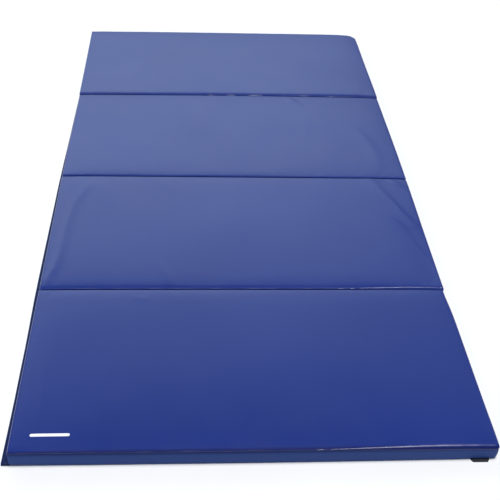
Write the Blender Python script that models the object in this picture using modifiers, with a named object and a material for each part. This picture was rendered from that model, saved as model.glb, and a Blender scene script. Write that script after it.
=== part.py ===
"""Folding gym mat: four foam panels in vinyl covers, joined by three fabric hinges, with a hook-tape
flap along the left side and loop tape under the right side of each panel.

Frame: metres, +Z up, origin at the centre of the bounding box's bottom. The mat lies flat, its length
along Y. Panel 1 is at the far end (+Y) and panel 4 at the near end (-Y). Left is -X.
"""

import bmesh
import bpy

# Driving dimensions, in metres.
MAT_WIDTH = 1.2192           # 4 ft, across the panels
MAT_LENGTH = 2.4384          # 8 ft, from the near wall to the far wall
PAD_THICKNESS = 0.0508       # 2 in, from the bottom cover to the top cover
PANEL_COUNT = 4
SEAM_GAP = 0.005             # between two panels' end walls
TOUCH_GAP = 0.0003           # left between pieces that lie against each other

VINYL = 0.0009               # thickness of the coated fabric
CORNER_RADIUS = 0.009        # vertical corners of the covers
EDGE_RADIUS = 0.004          # the roll of a cover over the foam's edge
TOP_SKIRT = 0.011            # how far the top cover turns down over the walls
BOTTOM_SKIRT = 0.006         # how far the bottom cover turns up over the walls

TAPE_WIDTH = 0.050           # hook tape and loop tape
LOOP_TAPE_END_MARGIN = 0.012      # bare vinyl between the loop tape's end and the panel's end
FLAP_END_MARGIN = 0.001      # between a flap's end and the panel's end
LOOP_TAPE_INSET = 0.018      # from the right edge to the loop tape
LOOP_TAIL = 0.009            # the near panel's loop tape runs on past its near wall
HOOK_TAPE = 0.0010           # thickness
HOOK_TAPE_BORDER = 0.0015    # flap showing on each side of the hook tape
HOOK_TAPE_END_BORDER = 0.006     # flap showing at each end of the hook tape
FLAP_WEB_WIDTH = 0.018       # fixed part of the flap, outside the left edge

FOLD_CLEARANCE_UNDER = 0.0008    # from the underside of the tapes to the axis of an under fold
FOLD_CLEARANCE_OVER = 0.0020     # from the top cover to the axis of the over fold
WEB_THICKNESS = 0.0012           # hinge web

# Heights that follow from them.
FLAP_BOTTOM = HOOK_TAPE + TOUCH_GAP
PAD_BOTTOM = FLAP_BOTTOM + VINYL + TOUCH_GAP
PAD_TOP = PAD_BOTTOM + PAD_THICKNESS
CORE_BOTTOM = PAD_BOTTOM + VINYL + TOUCH_GAP
CORE_TOP = PAD_TOP - VINYL - TOUCH_GAP
WALL_INSET = VINYL + TOUCH_GAP
CORE_INSET = 2 * WALL_INSET

# Plan. The web widens the box on the left and the loop tail lengthens it in front, and the origin
# stays at the centre of the box.
LEFT = -(MAT_WIDTH - FLAP_WEB_WIDTH) / 2
RIGHT = LEFT + MAT_WIDTH
NEAR = -(MAT_LENGTH - LOOP_TAIL) / 2
PITCH = (MAT_LENGTH + SEAM_GAP) / PANEL_COUNT
PANEL_LENGTH = PITCH - SEAM_GAP

# Seam 1 is the far one. A web under the seam folds undersides together, one over it folds tops together.
HINGES = {
    1: ("far_hinge_web", "under"),
    2: ("middle_hinge_web", "over"),
    3: ("near_hinge_web", "under"),
}

BLUE_VINYL = ("blue_vinyl", (0.035, 0.065, 0.32, 1.0), 0.36)
WALL_VINYL = ("wall_vinyl", (0.030, 0.055, 0.27, 1.0), 0.42)
HINGE_VINYL = ("hinge_vinyl", (0.024, 0.045, 0.24, 1.0), 0.45)
FOAM = ("foam", (0.88, 0.88, 0.86, 1.0), 0.95)
HOOK = ("hook_tape", (0.012, 0.014, 0.022, 1.0), 0.70)
LOOP = ("loop_tape", (0.015, 0.018, 0.030, 1.0), 0.95)


def clear_scene():
    for obj in list(bpy.data.objects):
        bpy.data.objects.remove(obj, do_unlink=True)


def material(spec):
    name, colour, roughness = spec
    made = bpy.data.materials.get(name)
    if made is None:
        made = bpy.data.materials.new(name)
        made.use_nodes = True
        shader = made.node_tree.nodes["Principled BSDF"]
        shader.inputs["Base Color"].default_value = colour
        shader.inputs["Roughness"].default_value = roughness
        shader.inputs["Metallic"].default_value = 0.0
    return made


def block(name, low, high, spec, origin=None, parent=None):
    """A cube stretched between two corners. Its origin is at its centre, or at the given point."""
    centre = [(a + b) / 2 for a, b in zip(low, high)]
    place = origin or centre
    mesh = bpy.data.meshes.new(name)
    shape = bmesh.new()
    bmesh.ops.create_cube(shape, size=1.0)
    bmesh.ops.scale(shape, vec=[b - a for a, b in zip(low, high)], verts=shape.verts)
    bmesh.ops.translate(shape, vec=[c - p for c, p in zip(centre, place)], verts=shape.verts)
    shape.to_mesh(mesh)
    shape.free()
    mesh.materials.append(material(spec))
    obj = bpy.data.objects.new(name, mesh)
    if parent is None:
        obj.location = place
    else:
        obj.parent = parent
        obj.location = [p - q for p, q in zip(place, parent.location)]
    parts.objects.link(obj)
    return obj


def remove_face(obj, side):
    """Opens a box on its upper (+1) or lower (-1) side."""
    shape = bmesh.new()
    shape.from_mesh(obj.data)
    faces = [face for face in shape.faces if face.normal.z * side > 0.5]
    bmesh.ops.delete(shape, geom=faces, context="FACES_ONLY")
    shape.to_mesh(obj.data)
    shape.free()


def weight_vertical_edges(obj, weight):
    """Upright edges get the full bevel, the rest the given share of it."""
    mesh = obj.data
    weights = mesh.attributes.new("bevel_weight_edge", "FLOAT", "EDGE")
    for edge in mesh.edges:
        a, b = (mesh.vertices[i].co for i in edge.vertices)
        upright = abs(a.z - b.z) > max(abs(a.x - b.x), abs(a.y - b.y))
        weights.data[edge.index].value = 1.0 if upright else weight


def round_edges(obj, width, segments):
    bevel = obj.modifiers.new("rounding", "BEVEL")
    bevel.width = width
    bevel.segments = segments
    bevel.limit_method = "WEIGHT"


def tray(name, low, high, open_side, spec):
    """A cover sheet that turns over the foam's edges: a box open on one side, with a wall of vinyl."""
    obj = block(name, low, high, spec)
    remove_face(obj, open_side)
    weight_vertical_edges(obj, EDGE_RADIUS / CORNER_RADIUS)
    round_edges(obj, CORNER_RADIUS, 3)
    skin = obj.modifiers.new("vinyl", "SOLIDIFY")
    skin.thickness = VINYL
    skin.offset = -1.0
    return obj


def panel_span(number):
    """Y of a panel's near and far ends."""
    near = NEAR + (PANEL_COUNT - number) * PITCH
    return near, near + PANEL_LENGTH


def add_core(number):
    """Two plies of foam, one on the other."""
    near, far = panel_span(number)
    middle = (CORE_BOTTOM + CORE_TOP) / 2
    plies = (
        ("lower", CORE_BOTTOM, middle - TOUCH_GAP / 2),
        ("upper", middle + TOUCH_GAP / 2, CORE_TOP),
    )
    for ply, bottom, top in plies:
        core = block(
            f"panel_{number}_foam_{ply}",
            (LEFT + CORE_INSET, near + CORE_INSET, bottom),
            (RIGHT - CORE_INSET, far - CORE_INSET, top),
            FOAM,
        )
        radius = CORNER_RADIUS - CORE_INSET
        weight_vertical_edges(core, EDGE_RADIUS / CORNER_RADIUS)
        round_edges(core, radius, 2)


def add_covers(number):
    near, far = panel_span(number)
    tray(
        f"panel_{number}_top_cover",
        (LEFT, near, PAD_TOP - TOP_SKIRT),
        (RIGHT, far, PAD_TOP),
        -1,
        BLUE_VINYL,
    )
    tray(
        f"panel_{number}_bottom_cover",
        (LEFT, near, PAD_BOTTOM),
        (RIGHT, far, PAD_BOTTOM + BOTTOM_SKIRT),
        1,
        WALL_VINYL,
    )


def add_walls(number):
    """Four strips inside the covers' skirts. They stop short of the rounded corners."""
    near, far = panel_span(number)
    bottom, top = CORE_BOTTOM + EDGE_RADIUS, CORE_TOP - EDGE_RADIUS
    outer, inner = WALL_INSET, WALL_INSET + VINYL
    spans = {
        "near_wall": ((LEFT + CORNER_RADIUS, near + outer), (RIGHT - CORNER_RADIUS, near + inner)),
        "far_wall": ((LEFT + CORNER_RADIUS, far - inner), (RIGHT - CORNER_RADIUS, far - outer)),
        "left_gusset": ((LEFT + outer, near + CORNER_RADIUS), (LEFT + inner, far - CORNER_RADIUS)),
        "right_gusset": ((RIGHT - inner, near + CORNER_RADIUS), (RIGHT - outer, far - CORNER_RADIUS)),
    }
    for side, (low, high) in spans.items():
        block(f"panel_{number}_{side}", (*low, bottom), (*high, top), WALL_VINYL)


def add_flap(number):
    """The left side's fastener: a fixed web, and a flap of vinyl with hook tape, folded back under."""
    near, far = panel_span(number)
    near, far = near + FLAP_END_MARGIN, far - FLAP_END_MARGIN
    outer = LEFT - FLAP_WEB_WIDTH
    block(
        f"panel_{number}_flap_web",
        (outer, near, PAD_BOTTOM),
        (LEFT - TOUCH_GAP, far, PAD_BOTTOM + VINYL),
        WALL_VINYL,
    )
    axis = bpy.data.objects.new(f"flap_{number}_axis", None)
    axis.location = (outer - TOUCH_GAP, (near + far) / 2, PAD_BOTTOM - TOUCH_GAP / 2)
    parts.objects.link(axis)
    block(
        f"panel_{number}_flap",
        (outer, near, FLAP_BOTTOM),
        (outer + TAPE_WIDTH, far, FLAP_BOTTOM + VINYL),
        WALL_VINYL,
        parent=axis,
    )
    block(
        f"panel_{number}_hook_tape",
        (outer + HOOK_TAPE_BORDER, near + HOOK_TAPE_END_BORDER, 0.0),
        (outer + TAPE_WIDTH - HOOK_TAPE_BORDER, far - HOOK_TAPE_END_BORDER, HOOK_TAPE),
        HOOK,
        parent=axis,
    )


def add_loop_tape(number):
    near, far = panel_span(number)
    near_end = near - LOOP_TAIL if number == PANEL_COUNT else near + LOOP_TAPE_END_MARGIN
    right = RIGHT - LOOP_TAPE_INSET
    block(
        f"panel_{number}_loop_tape",
        (right - TAPE_WIDTH, near_end, 0.0),
        (right, far - LOOP_TAPE_END_MARGIN, PAD_BOTTOM - TOUCH_GAP),
        LOOP,
    )


def add_hinge_web(seam):
    """The strip that joins two panels across a seam. Its origin is on the fold's axis."""
    name, side = HINGES[seam]
    seam_y = panel_span(seam)[0] - SEAM_GAP / 2
    if side == "under":
        bottom = PAD_BOTTOM
        axis_z = -FOLD_CLEARANCE_UNDER
    else:
        bottom = PAD_TOP - WEB_THICKNESS
        axis_z = PAD_TOP + FOLD_CLEARANCE_OVER
    half = SEAM_GAP / 2 - TOUCH_GAP
    block(
        name,
        (LEFT + CORNER_RADIUS, seam_y - half, bottom),
        (RIGHT - CORNER_RADIUS, seam_y + half, bottom + WEB_THICKNESS),
        HINGE_VINYL,
        origin=((LEFT + RIGHT) / 2, seam_y, axis_z),
    )


clear_scene()
parts = bpy.data.collections.new("folding_gym_mat")
bpy.context.scene.collection.children.link(parts)
for panel in range(1, PANEL_COUNT + 1):
    add_core(panel)
    add_covers(panel)
    add_walls(panel)
    add_flap(panel)
    add_loop_tape(panel)
for hinge in HINGES:
    add_hinge_web(hinge)
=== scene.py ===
"""Looks of the folding gym mat: vinyl covers, walls, flaps, tapes and hinge webs around the CAD frame.

Everything is in metres in the row frame: +Y along the mat, away from the camera, +X right, +Z up.
Panel 1 is the far one and panel 4 the near one, as in the CAD. The numbers of the pads' edges, creases
and pulls were fitted to the photo and to its measured silhouettes.
"""

import math

import bmesh
import bpy
import numpy as np
from mathutils import Euler, Matrix, Vector


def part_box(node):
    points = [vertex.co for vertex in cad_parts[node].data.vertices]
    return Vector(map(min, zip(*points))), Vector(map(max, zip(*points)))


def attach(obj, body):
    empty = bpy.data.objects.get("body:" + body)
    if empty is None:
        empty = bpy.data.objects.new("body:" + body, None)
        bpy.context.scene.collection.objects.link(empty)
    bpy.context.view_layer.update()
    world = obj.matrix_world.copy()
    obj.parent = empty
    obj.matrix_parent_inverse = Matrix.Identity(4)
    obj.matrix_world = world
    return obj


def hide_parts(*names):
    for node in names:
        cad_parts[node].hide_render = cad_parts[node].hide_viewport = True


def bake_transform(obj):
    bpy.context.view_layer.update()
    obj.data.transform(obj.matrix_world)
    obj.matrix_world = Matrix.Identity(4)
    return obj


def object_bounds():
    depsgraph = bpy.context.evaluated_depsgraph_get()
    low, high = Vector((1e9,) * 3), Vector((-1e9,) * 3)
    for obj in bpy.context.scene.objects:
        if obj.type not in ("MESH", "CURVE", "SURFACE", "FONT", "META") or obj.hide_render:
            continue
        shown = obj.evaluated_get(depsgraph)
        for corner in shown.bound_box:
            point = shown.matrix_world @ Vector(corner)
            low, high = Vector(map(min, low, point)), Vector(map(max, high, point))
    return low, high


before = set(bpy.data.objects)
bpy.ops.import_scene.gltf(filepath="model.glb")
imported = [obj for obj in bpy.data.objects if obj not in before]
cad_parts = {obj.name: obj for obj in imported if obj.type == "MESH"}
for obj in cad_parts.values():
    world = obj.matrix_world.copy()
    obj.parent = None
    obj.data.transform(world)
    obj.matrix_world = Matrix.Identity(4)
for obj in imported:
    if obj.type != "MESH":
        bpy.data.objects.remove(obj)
cad_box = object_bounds()

PANELS = (1, 2, 3, 4)
SIDES = ("near", "far", "left", "right")
VINYL = 0.0009           # thickness of the coated fabric

# ---------------------------------------------------------------------------------------------
# Materials
# ---------------------------------------------------------------------------------------------


class Nodes:
    """A small helper that adds shader nodes and joins them."""

    def __init__(self, name):
        self.material = bpy.data.materials.new(name)
        self.material.use_nodes = True
        self.tree = self.material.node_tree
        self.shader = self.tree.nodes["Principled BSDF"]
        self.place = self.add("ShaderNodeTexCoord").outputs["Object"]

    def add(self, kind, **settings):
        node = self.tree.nodes.new(kind)
        for name, value in settings.items():
            setattr(node, name, value)
        return node

    def join(self, output, node, name):
        self.tree.links.new(output, node.inputs[name])

    def noise(self, scale, detail=3.0, place=None):
        node = self.add("ShaderNodeTexNoise")
        node.inputs["Scale"].default_value = scale
        node.inputs["Detail"].default_value = detail
        self.join(place or self.place, node, "Vector")
        return node.outputs["Fac"]

    def cells(self, scale, feature="F1"):
        node = self.add("ShaderNodeTexVoronoi", feature=feature)
        node.inputs["Scale"].default_value = scale
        self.join(self.place, node, "Vector")
        return node.outputs["Distance"]

    def wave(self, scale, direction):
        node = self.add("ShaderNodeTexWave", wave_type="BANDS", bands_direction=direction)
        node.inputs["Scale"].default_value = scale
        self.join(self.place, node, "Vector")
        return node.outputs["Fac"]

    def math(self, operation, a, b):
        node = self.add("ShaderNodeMath", operation=operation)
        for socket, value in zip(node.inputs, (a, b)):
            if isinstance(value, (int, float)):
                socket.default_value = value
            else:
                self.tree.links.new(value, socket)
        return node.outputs["Value"]

    def ramp(self, value, stops):
        """Maps a value through (position, grey or colour) stops."""
        node = self.add("ShaderNodeValToRGB")
        while len(node.color_ramp.elements) < len(stops):
            node.color_ramp.elements.new(0.5)
        for element, (position, colour) in zip(node.color_ramp.elements, stops):
            element.position = position
            element.color = (colour,) * 3 + (1,) if isinstance(colour, (int, float)) else (*colour, 1)
        self.join(value, node, "Fac")
        return node.outputs["Color"]

    def mix(self, factor, a, b, blend="MIX"):
        node = self.add("ShaderNodeMix", data_type="RGBA", blend_type=blend)
        for index, value in ((0, factor), (6, a), (7, b)):
            socket = node.inputs[index]
            if isinstance(value, (int, float)):
                socket.default_value = value
            elif isinstance(value, tuple):
                socket.default_value = (*value, 1)
            else:
                self.tree.links.new(value, socket)
        return node.outputs[2]

    def bump(self, height, depth, strength=1.0, under=None):
        node = self.add("ShaderNodeBump")
        node.inputs["Strength"].default_value = strength
        node.inputs["Distance"].default_value = depth
        self.join(height, node, "Height")
        if under is not None:
            self.join(under, node, "Normal")
        return node.outputs["Normal"]


def vinyl(name, colour, deep, roughness, gloss=0.5, printed=False, crease=None):
    """Coated fabric: a fine pebbled emboss, the weave of its backing faintly through it, soft smudges.

    A crease is a painted shade along a seam, darkening the colour where the pinched fabric lies in shadow:
    its axis, its start and where it is darkest.
    """
    n = Nodes(name)
    drift = n.ramp(n.noise(2.3, 4.0), ((0.35, 0.0), (0.68, 1.0)))
    tint = n.mix(drift, deep, colour)
    speck = n.ramp(n.noise(1400.0, 2.0), ((0.3, 0.94), (0.7, 1.05)))
    tint = n.mix(1.0, tint, speck, "MULTIPLY")
    if printed:
        tint = n.mix(print_mask(n), tint, PRINT_COLOUR)
    # Painted shade: the colour is darkened along a seam's crease, where shadow falls.
    if crease:
        tint = n.mix(1.0, tint, painted_crease_shade(n, *crease), "MULTIPLY")
    n.join(tint, n.shader, "Base Color")
    smudge = n.math("MULTIPLY", n.noise(9.0, 5.0), 0.10)
    n.join(n.math("ADD", smudge, roughness - 0.05), n.shader, "Roughness")
    weave = n.math("MAXIMUM", n.wave(420.0, "X"), n.wave(420.0, "Y"))
    backing = n.bump(weave, 0.00004, 0.35)
    pebble = n.bump(n.cells(850.0, "SMOOTH_F1"), 0.00010, 0.5, backing)
    peel = n.bump(n.noise(70.0, 2.0), 0.00025, 0.35, pebble)
    n.join(peel, n.shader, "Normal")
    n.shader.inputs["Specular IOR Level"].default_value = gloss
    return n.material


# The painted shade's colour factor where a crease is darkest.
PAINTED_CREASE_SHADE = (0.28, 0.33, 0.54)


def painted_crease_shade(n, axis, start, end):
    """Painted shade: white up to the start, and the crease's shade colour from the end on, along one axis.
    """
    split = n.add("ShaderNodeSeparateXYZ")
    n.join(n.place, split, "Vector")
    share = n.math("DIVIDE", n.math("SUBTRACT", split.outputs[axis], start), end - start)
    return n.ramp(share, ((0.0, 1.0), (1.0, PAINTED_CREASE_SHADE)))


PRINT_COLOUR = (0.86, 0.87, 0.88)
PRINT_PLACE = (0.098, 0.053)         # from the near panel's left and front edges to the bar's middle
PRINT_HALF_LENGTH, PRINT_HALF_HEIGHT = 0.049, 0.0046


def print_mask(n):
    """A plain bar with round ends, printed in a corner of the near panel."""
    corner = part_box("panel_4_bottom_cover")[0]
    split = n.add("ShaderNodeSeparateXYZ")
    n.join(n.place, split, "Vector")
    beside = n.math("ABSOLUTE", n.math("SUBTRACT", split.outputs["X"], corner.x + PRINT_PLACE[0]), 0.0)
    beside = n.math("MAXIMUM", n.math("SUBTRACT", beside, PRINT_HALF_LENGTH - PRINT_HALF_HEIGHT), 0.0)
    along = n.math("SUBTRACT", split.outputs["Y"], corner.y + PRINT_PLACE[1])
    square = n.math("ADD", n.math("MULTIPLY", beside, beside), n.math("MULTIPLY", along, along))
    edge = n.math("SUBTRACT", PRINT_HALF_HEIGHT, n.math("SQRT", square, 0.0))
    return n.ramp(n.math("MULTIPLY", edge, 2500.0), ((0.0, 0.0), (1.0, 1.0)))


BLUE_TOP = ((0.0122, 0.0295, 0.186), (0.0112, 0.0270, 0.174), 0.24)
BLUE = vinyl("blue_vinyl_top", *BLUE_TOP)
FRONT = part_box("panel_4_bottom_cover")[0].y
# The near panel's cover carries its print and a painted shade in the crease along its front edge, darkest in
# its last millimetre.
PRINTED_WITH_PAINTED_SHADE = vinyl("blue_vinyl_printed_painted_shade", *BLUE_TOP, printed=True, crease=("Y", FRONT + 0.009, FRONT + 0.001))
MATT = {"roughness": 0.45, "gloss": 0.08}
# The walls carry a painted shade under the top seam, darker upwards from 34 mm to 47 mm. Their vinyl is the
# top's, given a lighter, greyer colour and little gloss: this colour is partly its own and partly a painted
# reflection of the pale floor.
WALL_PAINTED_SHADE = ("Z", 0.034, 0.047)
WALL_PAINTED_LIGHT = vinyl("blue_vinyl_wall_painted_light", (0.0300, 0.0660, 0.245), (0.0270, 0.0610, 0.230), **MATT, crease=WALL_PAINTED_SHADE)
# The flaps' vinyl is the walls' vinyl made much darker: painted shade, standing in for the pad's shadow over
# the flaps and their webs.
FLAP_PAINTED_SHADE = vinyl("blue_vinyl_flap_painted_shade", (0.0080, 0.0165, 0.070), (0.0072, 0.0150, 0.064), **MATT)
# The hinge webs' vinyl is darker than the covers': painted shade for the gaps at the seams.
HINGE_PAINTED_SHADE = vinyl("blue_vinyl_hinge_painted_shade", (0.0120, 0.0260, 0.130), (0.0110, 0.0240, 0.120), **MATT)


def tape(name, colour, tip, pile, depth):
    """Nylon tape: a dense pile of hooks or loops on a woven ground."""
    n = Nodes(name)
    tuft = n.cells(pile)
    n.join(n.ramp(tuft, ((0.05, tip), (0.55, colour))), n.shader, "Base Color")
    n.join(n.ramp(n.noise(200.0), ((0.3, 0.75), (0.7, 0.95))), n.shader, "Roughness")
    ground = n.bump(n.math("MAXIMUM", n.wave(500.0, "X"), n.wave(500.0, "Y")), 0.0001, 0.6)
    n.join(n.bump(tuft, depth, 1.0, ground), n.shader, "Normal")
    return n.material


HOOK = tape("hook_pile", (0.006, 0.007, 0.012), (0.030, 0.033, 0.045), 620.0, 0.0004)
LOOP = tape("loop_pile", (0.008, 0.010, 0.018), (0.040, 0.045, 0.060), 1100.0, 0.0003)


def thread(name):
    """Twisted polyester thread, lighter on the twist's ridges and darker in its grooves as painted shading.
    """
    n = Nodes(name)
    twist = n.wave(900.0, "DIAGONAL")
    # Painted shading: the navy is lighter where the twist's relief is high.
    navy = n.ramp(twist, ((0.0, (0.008, 0.018, 0.090)), (1.0, (0.020, 0.040, 0.180))))
    n.join(navy, n.shader, "Base Color")
    n.join(n.ramp(n.noise(600.0), ((0.3, 0.45), (0.7, 0.65))), n.shader, "Roughness")
    n.join(n.bump(twist, 0.00010, 0.8), n.shader, "Normal")
    return n.material


THREAD = thread("navy_thread")


def foam(name):
    """Closed-cell foam: white, matt, with fine pores whose hollows are darkened with painted shade."""
    n = Nodes(name)
    pore = n.cells(900.0)
    # Painted shade: the colour darkens towards each pore's middle, in its hollow.
    n.join(n.ramp(pore, ((0.0, (0.62, 0.62, 0.60)), (0.35, (0.86, 0.86, 0.84)))), n.shader, "Base Color")
    n.join(n.ramp(n.noise(40.0), ((0.3, 0.85), (0.7, 0.98))), n.shader, "Roughness")
    n.join(n.bump(pore, 0.0003, 0.8), n.shader, "Normal")
    return n.material


FOAM = foam("white_foam")

# ---------------------------------------------------------------------------------------------
# The pad's shape
# ---------------------------------------------------------------------------------------------

GRID = 0.006             # spacing of the cover's mesh lines
EDGE_BAND = 0.040        # width of the finely meshed band along each edge
EDGE_STEPS = 18
PLAIN_CORNER = 0.006     # plan radius of a pad's corner


def smooth(t):
    t = np.clip(t, 0, 1)
    return t * t * (3 - 2 * t)


def bell(distance, width):
    return np.exp(-((distance / width) ** 2))


WAVES = 7


def wobble(x, y, seed, scale):
    """A smooth, seeded sum of a few sine waves, from about -1 to 1."""
    rng = np.random.default_rng(seed)
    total = np.zeros(np.broadcast(x, y).shape)
    for _ in range(WAVES):
        angle, phase = rng.uniform(0, 2 * math.pi, 2)
        length = scale * rng.uniform(0.7, 1.6)
        total += np.sin(2 * math.pi * (x * math.cos(angle) + y * math.sin(angle)) / length + phase)
    return total / WAVES * 1.6


CHANGE_LENGTH = 0.3      # share of an edge over which its first value gives way to its second


class Side:
    """How one edge of the top cover turns down to its seam.

    A pair holds the values at the edge's two ends: left and right, or near and far.
    """

    def __init__(
        self,
        depth,
        reach,
        shoulder,
        lip=(0, 0),
        lip_at=0.0025,
        ledge=(0, 0),
        ledge_width=0.012,
        turn=0.55,
    ):
        self.depth = depth            # from the top down to the seam
        self.reach = reach            # how far in the roll starts
        self.shoulder = shoulder      # further drop of the soft shoulder, and its width
        self.lip = lip                # height of the ridge that the seam allowance makes under the cover
        self.lip_at = lip_at          # how far in it lies
        self.ledge = ledge            # drop of a shallow slope next to the seam
        self.ledge_width = ledge_width
        self.turn = turn              # where along the edge the two values change over

    def value(self, pair, along):
        return pair[0] + (pair[1] - pair[0]) * smooth((along - self.turn) / CHANGE_LENGTH + 0.5)

    def roll(self, distance, along):
        inside = np.clip(1 - distance / self.value(self.reach, along), 0, 1)
        return self.value(self.depth, along) * (1 - np.sqrt(1 - inside * inside))

    def lowering(self, distance, along):
        drop, width = self.shoulder
        step = np.clip(1 - distance / self.ledge_width, 0, 1) ** 2
        ridge = bell(distance - self.lip_at, self.lip_at * 0.6)
        return (
            drop * np.exp(-distance / width)
            + self.value(self.ledge, along) * step
            - self.value(self.lip, along) * ridge
        )


class Fold:
    """A soft crease along a curved path, given in shares of the panel across and along it."""

    def __init__(self, height, left, right, *path):
        self.height = height              # of the ridge; below zero for a valley
        self.left, self.right = left, right      # its width on each side of the path
        self.path = np.array(path)

    def line(self, pad):
        """The path as a smooth curve in metres."""
        size = np.array([pad.high.x - pad.low.x, pad.high.y - pad.low.y])
        points = np.array([pad.low.x, pad.low.y]) + self.path * size
        ends = np.vstack([2 * points[0] - points[1], points, 2 * points[-1] - points[-2]])
        t = np.linspace(0, 1, 12, endpoint=False)[:, None]
        runs = []
        for a, b, c, d in zip(ends, ends[1:], ends[2:], ends[3:]):
            square = 2 * a - 5 * b + 4 * c - d
            cube = 3 * b - a - 3 * c + d
            runs.append(0.5 * (2 * b + (c - a) * t + square * t**2 + cube * t**3))
        return np.vstack([*runs, points[-1:]])

    def lift(self, pad, x, y):
        line = self.line(pad)
        along = np.gradient(line, axis=0)
        along /= np.linalg.norm(along, axis=1)[:, None]
        gap = np.stack([x.ravel(), y.ravel()], -1)[:, None] - line[None]
        nearest = np.argmin((gap**2).sum(-1), axis=1)
        gap = gap[np.arange(len(gap)), nearest]
        way = along[nearest]
        side = way[:, 0] * gap[:, 1] - way[:, 1] * gap[:, 0]
        distance = np.hypot(gap[:, 0], gap[:, 1])
        width = self.left + (self.right - self.left) * smooth(0.5 - side / 0.006)
        share = nearest / (len(line) - 1)
        taper = np.sin(math.pi * np.clip(share * 0.9 + 0.05, 0, 1)) ** 0.6
        return (self.height * taper * bell(distance, width)).reshape(x.shape)


class Swell:
    """A broad soft rise (or a hollow, below zero) at a point given in shares of the panel."""

    def __init__(self, height, at, size):
        self.height, self.at, self.size = height, at, size

    def lift(self, pad, x, y):
        across, along = pad.shares(x, y)
        width, length = pad.high.x - pad.low.x, pad.high.y - pad.low.y
        return self.height * bell((across - self.at[0]) * width, self.size[0]) * bell(
            (along - self.at[1]) * length, self.size[1]
        )


SEWN_LEFT = dict(depth=(0.0040, 0.0040), reach=(0.0035, 0.0035), lip=(0.0007, 0.0007))
SOFT_RIGHT = dict(depth=(0.0060, 0.0060), reach=(0.0090, 0.0090))

PAD_SIDES = {
    1: {
        "near": Side(
            (0.0080, 0.0100), (0.0003, 0.0030), (0.0012, 0.020),
            ledge=(0.0022, 0.0028), ledge_width=0.020,
        ),
        "far": Side((0.0050, 0.0050), (0.0080, 0.0080), (0.0030, 0.05)),
        "left": Side(**SEWN_LEFT, shoulder=(0.0020, 0.05)),
        "right": Side(**SOFT_RIGHT, shoulder=(0.0030, 0.06)),
    },
    2: {
        "near": Side(
            (0.0050, 0.0050), (0.0003, 0.0003), (0.0010, 0.012),
            ledge=(0.0008, 0.0005), ledge_width=0.010,
        ),
        "far": Side((0.0120, 0.0130), (0.0070, 0.0090), (0.0016, 0.018)),
        "left": Side(**SEWN_LEFT, shoulder=(0.0020, 0.05)),
        "right": Side(**SOFT_RIGHT, shoulder=(0.0035, 0.06)),
    },
    3: {
        "near": Side(
            (0.0070, 0.0110), (0.0003, 0.0125), (0.0012, 0.016),
            ledge=(0.0017, 0.0008), ledge_width=0.017, turn=0.87,
        ),
        "far": Side((0.0080, 0.0080), (0.0040, 0.0040), (0.0010, 0.012)),
        "left": Side(**SEWN_LEFT, shoulder=(0.0025, 0.05)),
        "right": Side(**SOFT_RIGHT, shoulder=(0.0035, 0.06)),
    },
    4: {
        "near": Side(
            (0.0015, 0.0090), (0.0003, 0.0120), (0.0034, 0.045),
            lip=(0.0004, 0.0), lip_at=0.018, ledge=(0.0002, 0.0), ledge_width=0.010, turn=0.75,
        ),
        "far": Side((0.0100, 0.0100), (0.0050, 0.0060), (0.0012, 0.014)),
        "left": Side(**SEWN_LEFT, shoulder=(0.0018, 0.04)),
        "right": Side(**SOFT_RIGHT, shoulder=(0.0030, 0.06)),
    },
}

# Creases and swells of each top cover, as it lies after folding and carrying.
MARKS = {
    1: (
        Swell(0.0012, (0.22, 0.40), (0.26, 0.20)),
        Swell(0.0010, (0.74, 0.30), (0.24, 0.16)),
        Swell(-0.0030, (1.00, 1.00), (0.050, 0.050)),
    ),
    2: (
        Fold(0.0014, 0.020, 0.030, (0.886, 0.567), (0.915, 0.444), (0.932, 0.266), (0.932, 0.097)),
        Fold(0.0016, 0.010, 0.014, (0.690, 0.975), (0.706, 0.930), (0.737, 0.847)),
        Fold(0.0004, 0.014, 0.014, (0.737, 0.800), (0.732, 0.560), (0.713, 0.202)),
        Swell(0.0008, (0.30, 0.55), (0.30, 0.18)),
    ),
    3: (
        Fold(
            0.0031, 0.017, 0.034,
            (0.895, 0.980), (0.918, 0.830), (0.936, 0.738), (0.952, 0.637), (0.970, 0.550), (0.985, 0.490),
        ),
        Fold(
            -0.0030, 0.014, 0.040,
            (0.937, 0.530), (0.956, 0.393), (0.971, 0.293), (0.982, 0.196), (0.990, 0.060),
        ),
        Fold(0.0014, 0.010, 0.010, (0.950, 0.990), (0.968, 0.938), (0.987, 0.890)),
        Fold(
            0.0030, 0.018, 0.012,
            (0.076, 0.900), (0.052, 0.760), (0.040, 0.600), (0.036, 0.450),
            (0.034, 0.320), (0.028, 0.180), (0.016, 0.070),
        ),
        Fold(0.0005, 0.012, 0.018, (0.289, 0.205), (0.323, 0.016)),
        Fold(0.0004, 0.014, 0.020, (0.243, 0.970), (0.329, 0.869)),
        Swell(0.0008, (0.55, 0.50), (0.35, 0.18)),
    ),
    4: (
        Fold(0.0005, 0.008, 0.012, (0.236, 0.941), (0.261, 0.919)),
        Fold(0.0006, 0.012, 0.016, (0.055, 0.060), (0.050, 0.300), (0.040, 0.560)),
        Swell(0.0006, (0.50, 0.45), (0.40, 0.18)),
    ),
}

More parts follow.
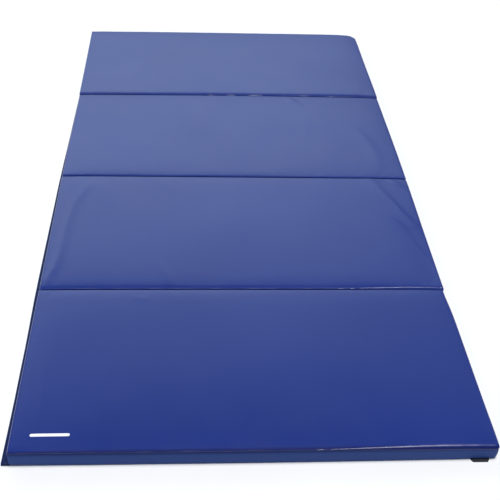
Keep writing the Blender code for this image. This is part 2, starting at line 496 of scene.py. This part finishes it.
# How far an edge is pulled in (below zero) or stands out, at a share along it, over a width.
SEAM_SPREAD = (0.50, 0.0012, 9.0)    # two covers bulge towards each other over their hinge, all along it
FAR_SEAM_SLANT = 0.0100              # the far seam's left end lies nearer
PULL_DEPTH = 0.05                    # how far in from the edge a pull fades
PULLS = {
    1: (
        ("right", 0.00, 0.0034, 0.25), ("left", 0.50, -0.0042, 0.75),
        ("far", 0.00, -0.0090, 0.35), ("far", 1.00, 0.0070, 0.45), ("near", *SEAM_SPREAD),
        ("near", 0.00, FAR_SEAM_SLANT, 0.45),
    ),
    2: (
        ("right", 0.20, 0.0042, 0.45), ("left", 1.00, -0.0055, 0.40),
        ("near", *SEAM_SPREAD), ("far", *SEAM_SPREAD),
        ("far", 0.00, -FAR_SEAM_SLANT, 0.45),
    ),
    3: (
        ("right", 0.95, 0.0032, 0.25),
        ("near", *SEAM_SPREAD), ("far", *SEAM_SPREAD),
    ),
    4: (
        ("right", 0.98, -0.0045, 0.07), ("right", 0.00, 0.0020, 0.10),
        ("near", 0.55, 0.0030, 0.60), ("far", *SEAM_SPREAD),
    ),
}

# Plan radius of the corners that aren't plain.
CORNERS = {
    (1, "far", "right"): 0.036,
    (1, "far", "left"): 0.004,
    (4, "near", "left"): 0.004,
    (4, "near", "right"): 0.010,
}


def spline_grid(values, row, column):
    """Reads a grid between its points, on smooth curves both ways."""

    def weights(t):
        return (
            0.5 * (-t + 2 * t**2 - t**3),
            0.5 * (2 - 5 * t**2 + 3 * t**3),
            0.5 * (t + 4 * t**2 - 3 * t**3),
            0.5 * (-(t**2) + t**3),
        )

    rows, columns = values.shape
    j, i = np.floor(row).astype(int), np.floor(column).astype(int)
    total = row * 0
    for down, weight_row in zip((-1, 0, 1, 2), weights(row - j)):
        for right, weight_column in zip((-1, 0, 1, 2), weights(column - i)):
            value = values[np.clip(j + down, 0, rows - 1), np.clip(i + right, 0, columns - 1)]
            total = total + value * weight_row * weight_column
    return total


def edge_lines(low, high, step=GRID):
    """Mesh lines from one edge to the other, close together near both."""
    steps = EDGE_BAND * (np.arange(EDGE_STEPS) / EDGE_STEPS) ** 2.2
    count = round((high - low - 2 * EDGE_BAND) / step) + 1
    middle = np.linspace(low + EDGE_BAND, high - EDGE_BAND, count)
    return np.concatenate([low + steps, middle, (high - steps)[::-1]])


SAG_RUN = 0.05           # from a tape's edge to where the bottom lies on the floor
SAG_SHARE = 0.92         # of its height above the floor
COVER_GAP = 0.0006       # the cover's height on its foam lies this much under the CAD's top
UNEVEN = 0.0004          # broad unevenness of the top, away from its edges
PUCKER = 0.00025         # fine ripples along the seams
PUCKER_WIDTH = 0.016


class Pad:
    """One panel's soft outline, worked out from its CAD covers."""

    def __init__(self, number):
        self.number = number
        self.body = f"panel_{number}"
        self.low, self.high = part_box(f"{self.body}_bottom_cover")[0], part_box(f"{self.body}_top_cover")[1]
        self.sides = PAD_SIDES[number]
        self.rise = None         # of the cover over its foam, on a coarse grid, from the cloth simulation

    def shares(self, x, y):
        """Where a point is, from 0 to 1 across and along the panel."""
        return (
            (x - self.low.x) / (self.high.x - self.low.x),
            (y - self.low.y) / (self.high.y - self.low.y),
        )

    def plan(self, x, y, inset=0.0):
        """Moves a rectangle's grid so that its corners are round and its edges are pulled in or out."""
        x, y = x.copy(), y.copy()
        for first in ("near", "far"):
            for second in ("left", "right"):
                radius = max(CORNERS.get((self.number, first, second), PLAIN_CORNER) - inset, 0.002)
                way_x, way_y = (1 if second == "right" else -1), (1 if first == "far" else -1)
                centre_x = (self.high.x - inset if way_x > 0 else self.low.x + inset) - way_x * radius
                centre_y = (self.high.y - inset if way_y > 0 else self.low.y + inset) - way_y * radius
                dx, dy = np.maximum((x - centre_x) * way_x, 0), np.maximum((y - centre_y) * way_y, 0)
                both = (dx > 0) & (dy > 0)
                reach = np.maximum(np.hypot(dx, dy), 1e-9)
                share = np.where(both, np.maximum(dx, dy) / reach, 1.0)
                x = np.where(both, centre_x + way_x * dx * share, x)
                y = np.where(both, centre_y + way_y * dy * share, y)
        across, along = self.shares(x, y)
        width, length = self.high.x - self.low.x, self.high.y - self.low.y
        for side, at, amount, spread in PULLS[self.number]:
            if side in ("left", "right"):
                way = 1 if side == "right" else -1
                distance = (1 - across if way > 0 else across) * width
                x = x + way * amount * bell((along - at) * length, spread) * bell(distance, PULL_DEPTH)
            else:
                way = 1 if side == "far" else -1
                distance = (1 - along if way > 0 else along) * length
                y = y + way * amount * bell((across - at) * width, spread) * bell(distance, PULL_DEPTH)
        return x, y

    def underside(self, x):
        """Height of the bottom: it rests on its tapes at the sides, and sags to the floor between them."""
        flap_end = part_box(f"{self.body}_flap")[1].x
        tape_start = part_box(f"{self.body}_loop_tape")[0].x
        between = smooth((x - flap_end) / SAG_RUN) * smooth((tape_start - x) / SAG_RUN)
        return self.low.z * (1 - SAG_SHARE * between)

    def distances(self, x, y):
        """For each side, how far in a point is, and its share of the way along that side."""
        across, along = self.shares(x, y)
        return {
            "near": (y - self.low.y, across),
            "far": (self.high.y - y, across),
            "left": (x - self.low.x, along),
            "right": (self.high.x - x, along),
        }

    def crown(self, x, y):
        """Height of the cover on its foam, before the edges turn down."""
        distances = self.distances(x, y)
        lowering = sum(self.sides[s].lowering(*distances[s]) for s in SIDES)
        inner = smooth(np.minimum.reduce([distances[s][0] for s in SIDES]) / 0.03)
        z = self.high.z - COVER_GAP - lowering + sum(m.lift(self, x, y) for m in MARKS[self.number])
        return z + UNEVEN * inner * wobble(x, y, 10 + self.number, 0.35)

    def puff(self, x, y):
        """How far the cloth simulation lifted the cover at each point."""
        if self.rise is None:
            return x * 0
        rows, columns = self.rise.shape
        across, along = self.shares(x, y)
        column = np.clip(across, 0, 1) * (columns - 1)
        row = np.clip(along, 0, 1) * (rows - 1)
        return spline_grid(self.rise, row, column)

    def top(self, x, y):
        """Points of the top cover over a grid of x and y."""
        distances = self.distances(x, y)
        roll = sum(self.sides[s].roll(*distances[s]) ** 3 for s in SIDES) ** (1 / 3)
        edge = np.minimum.reduce([distances[s][0] for s in SIDES])
        z = self.crown(x, y) + self.puff(x, y) - roll
        seam = np.minimum(distances["near"][0], distances["far"][0])
        pucker = np.exp(-seam / PUCKER_WIDTH) * smooth(edge / 0.004)
        z = z + PUCKER * pucker * wobble(x, y * 0.4, 20 + self.number, 0.055)
        return np.stack([*self.plan(x, y), z], -1)


SHARP = math.radians(32)     # fabric bent more than this between two faces shows a hard crease


def grid_mesh(name, points, material, flip=False):
    """A sheet from a grid of points."""
    rows, columns = points.shape[:2]
    index = np.arange(rows * columns).reshape(rows, columns)
    corners = (index[:-1, :-1], index[:-1, 1:], index[1:, 1:], index[1:, :-1])
    quads = np.stack(corners, -1).reshape(-1, 4)
    if flip:
        quads = quads[:, ::-1]
    mesh = bpy.data.meshes.new(name)
    mesh.from_pydata(points.reshape(-1, 3).tolist(), [], quads.tolist())
    mesh.materials.append(material)
    mesh.shade_smooth()
    mesh.set_sharp_from_angle(angle=SHARP)
    obj = bpy.data.objects.new(name, mesh)
    bpy.context.scene.collection.objects.link(obj)
    return obj


CLOTH_CELL = 0.016
CLOTH_FRAMES = 20
CLOTH_PRESSURE = 4.0
CLOTH_SPARE = 0.004      # the fabric is cut this share larger than the foam, so it ruffles at its seams
MOST_RISE = 0.0011       # the finished cover stays this close to its foam
SOFT_RISE = 0.009        # a simulated rise of this size gives about three quarters of the most


def cloth_rise(pad):
    """Presses the cover outwards as cloth, held along its seams, and gives its rise over a coarse grid."""
    width, length = pad.high.x - pad.low.x, pad.high.y - pad.low.y
    xs = np.linspace(pad.low.x, pad.high.x, round(width / CLOTH_CELL) + 1)
    ys = np.linspace(pad.low.y, pad.high.y, round(length / CLOTH_CELL) + 1)
    x, y = np.meshgrid(xs, ys)
    start = np.stack([x, y, pad.crown(x, y)], -1)
    obj = grid_mesh(f"cloth_{pad.number}", start, BLUE)
    seams = np.zeros(x.shape, bool)
    seams[[0, -1]] = True
    seams[:, [0, -1]] = True
    obj.vertex_groups.new(name="seams").add(np.flatnonzero(seams).tolist(), 1.0, "REPLACE")
    cloth = obj.modifiers.new("cloth", "CLOTH").settings
    cloth.quality = 6
    cloth.mass = 0.3
    cloth.vertex_group_mass = "seams"
    cloth.use_pressure = True
    cloth.uniform_pressure_force = CLOTH_PRESSURE
    cloth.shrink_min = -CLOTH_SPARE
    cloth.effector_weights.gravity = 0
    scene = bpy.context.scene
    for number in range(1, CLOTH_FRAMES + 1):
        scene.frame_set(number)
    swollen = obj.evaluated_get(bpy.context.evaluated_depsgraph_get()).data
    ends = np.empty(len(swollen.vertices) * 3)
    swollen.vertices.foreach_get("co", ends)
    rise = ends.reshape(start.shape)[..., 2] - start[..., 2]
    bpy.data.objects.remove(obj)
    scene.frame_set(1)
    return rise


def thicken(obj, thickness=VINYL, offset=-1.0):
    skin = obj.modifiers.new("thickness", "SOLIDIFY")
    skin.thickness = thickness
    skin.offset = offset
    return obj


def stands_for(obj, body, slot, *nodes):
    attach(obj, body)
    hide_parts(*nodes)
    return obj


def top_cover(pad):
    x, y = np.meshgrid(edge_lines(pad.low.x, pad.high.x), edge_lines(pad.low.y, pad.high.y))
    points = pad.top(x, y)
    obj = thicken(grid_mesh(f"top_cover_{pad.number}", points, PRINTED_WITH_PAINTED_SHADE if pad.number == 4 else BLUE))
    stands_for(obj, pad.body, "blue_vinyl", f"{pad.body}_top_cover")
    return points


WALL_ROWS = np.array([0, 0.02, 0.05, 0.10, 0.18, 0.30, 0.45, 0.60, 0.75, 0.87, 0.94, 0.98, 1.0])
WALL_NODES = {"near": "near_wall", "far": "far_wall", "left": "left_gusset", "right": "right_gusset"}
SEAM_TUCK = 0.0014       # the wall's top lies this far in under the cover's edge
FOOT_TUCK = 0.0016
WALL_FOOT = 0.0030       # height of the wall's lower edge over the bottom cover


def outline(points, side):
    """The top cover's edge along one side, running so that the pad lies on its left."""
    return {
        "near": points[0],
        "right": points[:, -1],
        "far": points[-1, ::-1],
        "left": points[::-1, 0],
    }[side]


def outward(edge):
    along = np.gradient(edge[:, :2], axis=0)
    along /= np.linalg.norm(along, axis=1)[:, None]
    return np.stack([along[:, 1], -along[:, 0], np.zeros(len(along))], -1)


def wall(pad, points, side):
    """A strip from the top seam down to the bottom seam, a little proud in its middle."""
    edge = outline(points, side)
    out = outward(edge)
    head = edge - out * SEAM_TUCK - [0, 0, 0.0002]
    foot = edge - out * FOOT_TUCK
    line = np.concatenate([[0], np.cumsum(np.linalg.norm(np.diff(edge, axis=0), axis=1))])
    sag = 0.0006 * wobble(line, line * 0, 60 + pad.number * 4 + SIDES.index(side), 0.5)
    foot[:, 2] = pad.underside(edge[:, 0]) + WALL_FOOT + np.clip(sag, -0.0005, 0.0008)
    t = WALL_ROWS[:, None, None]
    swell = 0.0009 + 0.0005 * wobble(line, line * 0, 40 + pad.number * 4 + SIDES.index(side), 0.3)
    swell = swell + 0.0006 * (bell(line, 0.002) + bell(line[-1] - line, 0.002))
    bulge = np.sin(math.pi * t**0.8) * swell[None, :, None]
    sheet = head * (1 - t) + foot * t + out * (bulge + 0.0006 * np.minimum(t * 12, 1) * (1 - t))
    obj = thicken(grid_mesh(f"{WALL_NODES[side]}_{pad.number}", sheet[::-1], WALL_PAINTED_LIGHT))
    stands_for(obj, pad.body, "wall_vinyl", f"{pad.body}_{WALL_NODES[side]}")


def bottom_cover(pad):
    """The underside, turned up a little all round to meet the walls."""
    reach, rise, inset = 0.005, 0.0036, 0.0018
    low, high = pad.low + Vector((inset, inset, 0)), pad.high - Vector((inset, inset, 0))
    x, y = np.meshgrid(edge_lines(low.x, high.x, 0.03), edge_lines(low.y, high.y, 0.03))
    distance = np.minimum.reduce([x - low.x, high.x - x, y - low.y, high.y - y])
    lift = rise * (1 - np.sqrt(1 - np.clip(1 - distance / reach, 0, 1) ** 2))
    sheet = np.stack([*pad.plan(x, y, inset), pad.underside(x) + lift], -1)
    obj = thicken(grid_mesh(f"bottom_cover_{pad.number}", sheet, WALL_PAINTED_LIGHT, flip=True))
    stands_for(obj, pad.body, "wall_vinyl", f"{pad.body}_bottom_cover")


def block_between(name, floor, ceiling, material):
    """A closed body between two sheets over the same grid."""
    rows, columns = floor.shape[:2]
    mesh = bpy.data.meshes.new(name)
    shape = bmesh.new()
    lids = [[[shape.verts.new(p) for p in row] for row in sheet] for sheet in (floor, ceiling)]
    for lid, turn in zip(lids, (-1, 1)):
        for j in range(rows - 1):
            for i in range(columns - 1):
                corners = [lid[j][i], lid[j][i + 1], lid[j + 1][i + 1], lid[j + 1][i]]
                shape.faces.new(corners[::turn])
    rims = [
        [*lid[0], *[row[-1] for row in lid[1:]], *lid[-1][-2::-1], *[row[0] for row in lid[-2:0:-1]]]
        for lid in lids
    ]
    for k in range(len(rims[0])):
        shape.faces.new((rims[0][k - 1], rims[0][k], rims[1][k], rims[1][k - 1]))
    shape.to_mesh(mesh)
    shape.free()
    mesh.materials.append(material)
    obj = bpy.data.objects.new(name, mesh)
    bpy.context.scene.collection.objects.link(obj)
    return obj


def foam_plies(pad):
    """The core: two plies, a little smaller than the cover all round."""
    gap, inset = 0.0022, 0.0054
    for ply in ("lower", "upper"):
        low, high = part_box(f"{pad.body}_foam_{ply}")
        x, y = np.meshgrid(
            np.linspace(pad.low.x + inset, pad.high.x - inset, 60),
            np.linspace(pad.low.y + inset, pad.high.y - inset, 40),
        )
        ceiling = np.minimum(pad.top(x, y)[..., 2] - gap, high.z) if ply == "upper" else x * 0 + high.z
        flat = pad.plan(x, y, inset)
        sheets = (np.stack([*flat, level], -1) for level in (x * 0 + low.z, ceiling))
        obj = block_between(f"foam_{ply}_{pad.number}", *sheets, FOAM)
        stands_for(obj, pad.body, "foam", f"{pad.body}_foam_{ply}")


# ---------------------------------------------------------------------------------------------
# Flaps, tapes, hinge webs and stitches
# ---------------------------------------------------------------------------------------------

STITCH_LENGTH, STITCH_PITCH, STITCH_RADIUS = 0.0036, 0.0050, 0.00040


def stitch_row(shape, start, end):
    """Adds one straight row of stitches, each a short bead of thread."""
    start, end = Vector(start), Vector(end)
    way = (end - start).normalized()
    turn = way.to_track_quat("X", "Z")
    count = int((end - start).length / STITCH_PITCH)
    for k in range(count):
        centre = start + way * (k + 0.5) * STITCH_PITCH
        rings = []
        for share, girth in ((-0.36, 0.75), (0.0, 1.0), (0.36, 0.75)):
            ring = []
            for step in range(5):
                angle = 2 * math.pi * step / 5
                across = Vector((0, math.cos(angle), math.sin(angle))) * STITCH_RADIUS * girth
                place = Vector((share * STITCH_LENGTH, 0, 0)) + across
                ring.append(shape.verts.new(centre + turn @ place))
            rings.append(ring)
        tips = [shape.verts.new(centre + way * share * STITCH_LENGTH) for share in (-0.5, 0.5)]
        for step in range(5):
            after = (step + 1) % 5
            for one, two in zip(rings, rings[1:]):
                shape.faces.new((one[step], one[after], two[after], two[step]))
            shape.faces.new((rings[0][after], rings[0][step], tips[0]))
            shape.faces.new((rings[-1][step], rings[-1][after], tips[1]))


def stitches(name, body, rows):
    mesh = bpy.data.meshes.new(name)
    shape = bmesh.new()
    for start, end in rows:
        stitch_row(shape, start, end)
    bmesh.ops.recalc_face_normals(shape, faces=shape.faces)
    shape.to_mesh(mesh)
    shape.free()
    mesh.shade_smooth()
    mesh.materials.append(THREAD)
    obj = bpy.data.objects.new(name, mesh)
    bpy.context.scene.collection.objects.link(obj)
    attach(obj, body)
    return obj


# How far the flaps' webs stand out from the pads, at places along the mat.
WEB_REACH = (
    (-1.22, 0.0192), (-1.00, 0.0168), (-0.80, 0.0168), (-0.60, 0.0190),
    (0.00, 0.0162), (0.61, 0.0060), (1.22, 0.0010),
)
WEB_SPARE = 0.0026       # a web and its flap run on this far over a hinge


def web_reach(y):
    """How far the flap's web stands out from the pad: less at the far end, where the flap is tucked in."""
    places, reaches = zip(*WEB_REACH)
    return np.interp(y, places, reaches) + 0.0004 * wobble(y, y * 0, 90, 0.4)


def flap_ends(pad):
    """Where the web and its flap end: a little past the CAD's ends over each hinge."""
    low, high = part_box(f"{pad.body}_flap_web")
    near = low.y - (0 if pad.number == 4 else WEB_SPARE)
    far = high.y + (0 if pad.number == 1 else WEB_SPARE)
    return near, far


def flap_web(pad):
    """The flap's fixed part: it lies on the floor's side of the pad and reaches out past its left edge."""
    low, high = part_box(f"{pad.body}_flap_web")
    ys = np.linspace(*flap_ends(pad), 60)
    shares = np.linspace(0, 1, 9)
    share, y = np.meshgrid(shares, ys)
    root, tip = pad.low.x + 0.0024, pad.low.x - web_reach(y) + 0.0008
    x = root + (tip - root) * share
    hump = 0.0005 * np.sin(math.pi * share) * (1 + wobble(y, y * 0, 95 + pad.number, 0.12))
    sheet = np.stack([x, y, x * 0 + low.z + VINYL / 2 + hump], -1)
    obj = thicken(grid_mesh(f"flap_web_{pad.number}", sheet, FLAP_PAINTED_SHADE, flip=True), offset=0.0)
    stands_for(obj, pad.body, "wall_vinyl", f"{pad.body}_flap_web")
    row_x, row_z = pad.low.x - 0.0045, high.z + 0.0006
    row = ((row_x, low.y + 0.004, row_z), (row_x, high.y - 0.004, row_z))
    stitches(f"web_stitches_{pad.number}", pad.body, [row])


FLAP_TUCK = 0.005        # the near panel's flap ends this much short of its web at the front
FLAP_TURN_START = 0.0016     # the flap starts this far in over its web


def tuck_in(pad, y):
    """How far the folded flap's edge lies to the right of its CAD node's."""
    return pad.low.x - web_reach(y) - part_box(f"{pad.body}_flap")[0].x


def flap(pad):
    """The turned-under part: the fold at the web's edge, and the flap itself with its hook tape.
    """
    body = f"flap_{pad.number}"
    low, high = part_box(f"{pad.body}_flap")
    web_z, flap_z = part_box(f"{pad.body}_flap_web")[0].z + VINYL / 2, (low.z + high.z) / 2
    radius, middle = (web_z - flap_z) / 2, (web_z + flap_z) / 2
    angles = np.linspace(0, math.pi, 8)      # an even count, so that no row lies at the middle
    turn = [(radius * (1 - math.sin(a)), middle + radius * math.cos(a)) for a in angles]
    under = [(s, flap_z) for s in np.linspace(0.004, high.x - low.x, 9)]
    flat = [(FLAP_TURN_START, web_z), *turn, *under]
    near, far = flap_ends(pad)
    ys = np.linspace(near + (FLAP_TUCK if pad.number == 4 else 0), far, 60)
    outer = pad.low.x - web_reach(ys)
    rows = [np.stack([outer + inward, ys, ys * 0 + z], -1) for inward, z in flat]
    obj = thicken(grid_mesh(body, np.stack(rows, 1), FLAP_PAINTED_SHADE), offset=0.0)
    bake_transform(obj)
    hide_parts(f"{pad.body}_flap")
    tape = hook_tape(pad)


def hook_tape(pad):
    """The tape sewn under the flap, which turns with it."""
    low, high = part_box(f"{pad.body}_hook_tape")
    x, y = np.meshgrid(np.linspace(low.x, high.x, 7), np.linspace(low.y, high.y, 60))
    x = x + tuck_in(pad, y)
    sheet = np.stack([x, y, x * 0 + low.z + 0.00065], -1)
    obj = thicken(grid_mesh(f"hook_tape_{pad.number}", sheet, HOOK), 0.0009, 0.0)
    stands_for(obj, f"flap_{pad.number}", "hook_tape", f"{pad.body}_hook_tape")
    ends = [(y, tuck_in(pad, y)) for y in (low.y + 0.003, high.y - 0.003)]
    row_xs = (low.x + 0.0035, high.x - 0.0035)
    rows = [[(x + inward, y, low.z + 0.0004) for y, inward in ends] for x in row_xs]
    stitches(f"hook_stitches_{pad.number}", f"flap_{pad.number}", rows)
    return obj


def loop_tape(pad):
    """The near panel's tape runs out past the front wall, and its end is cut with slanted corners."""
    low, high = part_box(f"{pad.body}_loop_tape")
    x, y = np.meshgrid(np.linspace(-1, 1, 9), np.linspace(low.y, high.y, 80))
    past = np.clip((pad.low.y - y) / max(pad.low.y - low.y, 1e-6), 0, 1)
    half = (high.x - low.x) / 2 - 0.006 * past
    z = low.z + 0.0012 - 0.0003 * past
    sheet = np.stack([(low.x + high.x) / 2 + x * half, y, z], -1)
    obj = thicken(grid_mesh(f"loop_tape_{pad.number}", sheet, LOOP), 0.0018, 0.0)
    stands_for(obj, pad.body, "loop_tape", f"{pad.body}_loop_tape")
    near = max(low.y, pad.low.y) + 0.004
    rows = [
        ((x, near, low.z + 0.0004), (x, high.y - 0.004, low.z + 0.0004))
        for x in (low.x + 0.004, high.x - 0.004)
    ]
    stitches(f"loop_stitches_{pad.number}", pad.body, rows)


WEB_HALF_UNDER = 0.0058      # an under fold's web runs in under the covers' rolled edges
WEB_HALF_OVER = 0.0044
WEB_PAST = 0.005             # the webs run on this far past their CAD nodes' right ends

# Each hinge web's node, with the body that it starts on and the body that it ends on.
HINGES = {
    "near_hinge_web": ("panel_3", "panel_4"),
    "middle_hinge_web": ("panel_3", "panel_2"),
    "far_hinge_web": ("panel_1", "panel_2"),
}


def hinge_web(node):
    """A strip across a seam, running along its fold line.

    The over fold's web lies high in the crease. The others lie low, and run out under the flaps' webs.
    """
    low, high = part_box(node)
    seam, half = (low.y + high.y) / 2, (high.y - low.y) / 2
    over = node == "middle_hinge_web"
    left = low.x - 0.004 if over else pads[4].low.x - 0.6 * web_reach(seam)
    x, t = np.meshgrid(np.linspace(left, high.x + WEB_PAST, 150), np.linspace(-1, 1, 13))
    reach = WEB_HALF_OVER if over else WEB_HALF_UNDER
    z = low.z - 0.0078 + 0.0030 * t**2 if over else low.z + 0.0003 + 0.0009 * t**2
    z = z + 0.0002 * wobble(x, t * 0, 70, 0.15)
    sheet = np.stack([x, seam + t * reach, z], -1)
    obj = thicken(grid_mesh(node.replace("_web", ""), sheet, HINGE_PAINTED_SHADE), offset=-1.0 if over else 1.0)
    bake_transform(obj)
    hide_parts(node)


pads = {n: Pad(n) for n in PANELS}
for pad in pads.values():
    pad.rise = MOST_RISE * np.tanh(cloth_rise(pad) / SOFT_RISE)
    cover = top_cover(pad)
    for side_name in SIDES:
        wall(pad, cover, side_name)
    bottom_cover(pad)
    foam_plies(pad)
    flap_web(pad)
    flap(pad)
    loop_tape(pad)
for hinge_node, (first_body, second_body) in HINGES.items():
    hinge_web(hinge_node)

# ---------------------------------------------------------------------------------------------
# Camera, light and floor
# ---------------------------------------------------------------------------------------------

CAMERA_PLACE = Vector((-0.1733, -2.6243, 1.7672))
CAMERA_TILT = math.radians(52.26)
CAMERA_PAN = math.radians(-5.365)
CAMERA_ROLL = math.radians(3.43)
CAMERA_LENS = 63.72            # millimetres, on a 36 mm sensor


def add_camera():
    data = bpy.data.cameras.new("camera")
    data.lens = CAMERA_LENS
    data.sensor_width = 36.0
    camera = bpy.data.objects.new("camera", data)
    turn = (
        Matrix.Rotation(CAMERA_PAN, 4, "Z")
        @ Matrix.Rotation(CAMERA_TILT, 4, "X")
        @ Matrix.Rotation(CAMERA_ROLL, 4, "Z")
    )
    camera.matrix_world = Matrix.Translation(CAMERA_PLACE) @ turn
    bpy.context.scene.collection.objects.link(camera)
    bpy.context.scene.camera = camera


# The studio's brightness by the sine of the height above the horizon, and from one side to the other.
BACKDROP_UP = (
    (0.00, 0.20), (0.38, 0.45), (0.49, 1.0), (0.56, 0.84),
    (0.63, 0.70), (0.68, 0.36), (0.75, 0.02), (1.00, 0.02),
)
BACKDROP_AHEAD = ((0.25, 0.40), (0.35, 0.16), (0.42, 0.20), (0.62, 1.0))
BACKDROP_ACROSS = (
    (0.10, 0.50), (0.36, 0.95), (0.46, 0.97), (0.55, 0.92),
    (0.64, 0.53), (0.72, 0.22), (0.85, 0.14),
)
BACKDROP_STRENGTH = 2.60
BACKDROP_COLOUR = (0.68, 0.82, 1.0, 1.0)
SEEN_STRENGTH = 1.5      # the least that the camera sees of it


def add_sky():
    """A plain studio: a screen behind the mat, brightest 30 degrees up, and a dim room elsewhere.

    Where the camera looks at the studio itself, it is pale on every side.
    """
    world = bpy.data.worlds.new("studio")
    bpy.context.scene.world = world
    world.use_nodes = True
    tree = world.node_tree

    def spread(source, stops):
        ramp = tree.nodes.new("ShaderNodeValToRGB")
        ramp.color_ramp.interpolation = "EASE"
        while len(ramp.color_ramp.elements) < len(stops):
            ramp.color_ramp.elements.new(0.5)
        for element, (position, value) in zip(ramp.color_ramp.elements, stops):
            element.position = position
            element.color = (value, value, value, 1.0)
        tree.links.new(source, ramp.inputs["Fac"])
        return ramp.outputs["Color"]

    def combine(operation, one, two):
        node = tree.nodes.new("ShaderNodeMath")
        node.operation = operation
        for socket, value in zip(node.inputs, (one, two)):
            if isinstance(value, float):
                socket.default_value = value
            else:
                tree.links.new(value, socket)
        return node.outputs["Value"]

    split = tree.nodes.new("ShaderNodeSeparateXYZ")
    tree.links.new(tree.nodes.new("ShaderNodeTexCoord").outputs["Generated"], split.inputs[0])
    height = spread(split.outputs["Z"], BACKDROP_UP)
    shares = []
    for axis in ("Y", "X"):
        share = combine("MULTIPLY_ADD", split.outputs[axis], 0.5)
        share.node.inputs[2].default_value = 0.5
        shares.append(share)
    ahead = spread(shares[0], BACKDROP_AHEAD)
    across = spread(shares[1], BACKDROP_ACROSS)
    total = combine("MULTIPLY", combine("MULTIPLY", height, ahead), across)
    lit = combine("MULTIPLY", total, BACKDROP_STRENGTH)
    seen = tree.nodes.new("ShaderNodeLightPath").outputs["Is Camera Ray"]
    strength = combine("MAXIMUM", lit, combine("MULTIPLY", seen, SEEN_STRENGTH))
    background = tree.nodes["Background"]
    background.inputs["Color"].default_value = BACKDROP_COLOUR
    tree.links.new(strength, background.inputs["Strength"])


def add_lamp():
    """One very soft overhead light."""
    data = bpy.data.lights.new("overhead", "SUN")
    data.energy = 3.3
    data.angle = math.radians(24)
    lamp = bpy.data.objects.new("overhead", data)
    lamp.rotation_euler = Euler((math.radians(3), math.radians(3), 0))
    bpy.context.scene.collection.objects.link(lamp)


def add_floor():
    n = Nodes("pale_floor")
    n.join(n.ramp(n.noise(3.0), ((0.3, 0.82), (0.7, 0.84))), n.shader, "Base Color")
    n.shader.inputs["Roughness"].default_value = 0.9
    bpy.ops.mesh.primitive_plane_add(size=40, location=(0, 0, cad_box[0].z))
    floor = bpy.context.object
    floor.name = "floor"
    floor.data.materials.append(n.material)


add_camera()
add_sky()
add_lamp()
add_floor()
bpy.context.scene.view_settings.view_transform = "Standard"
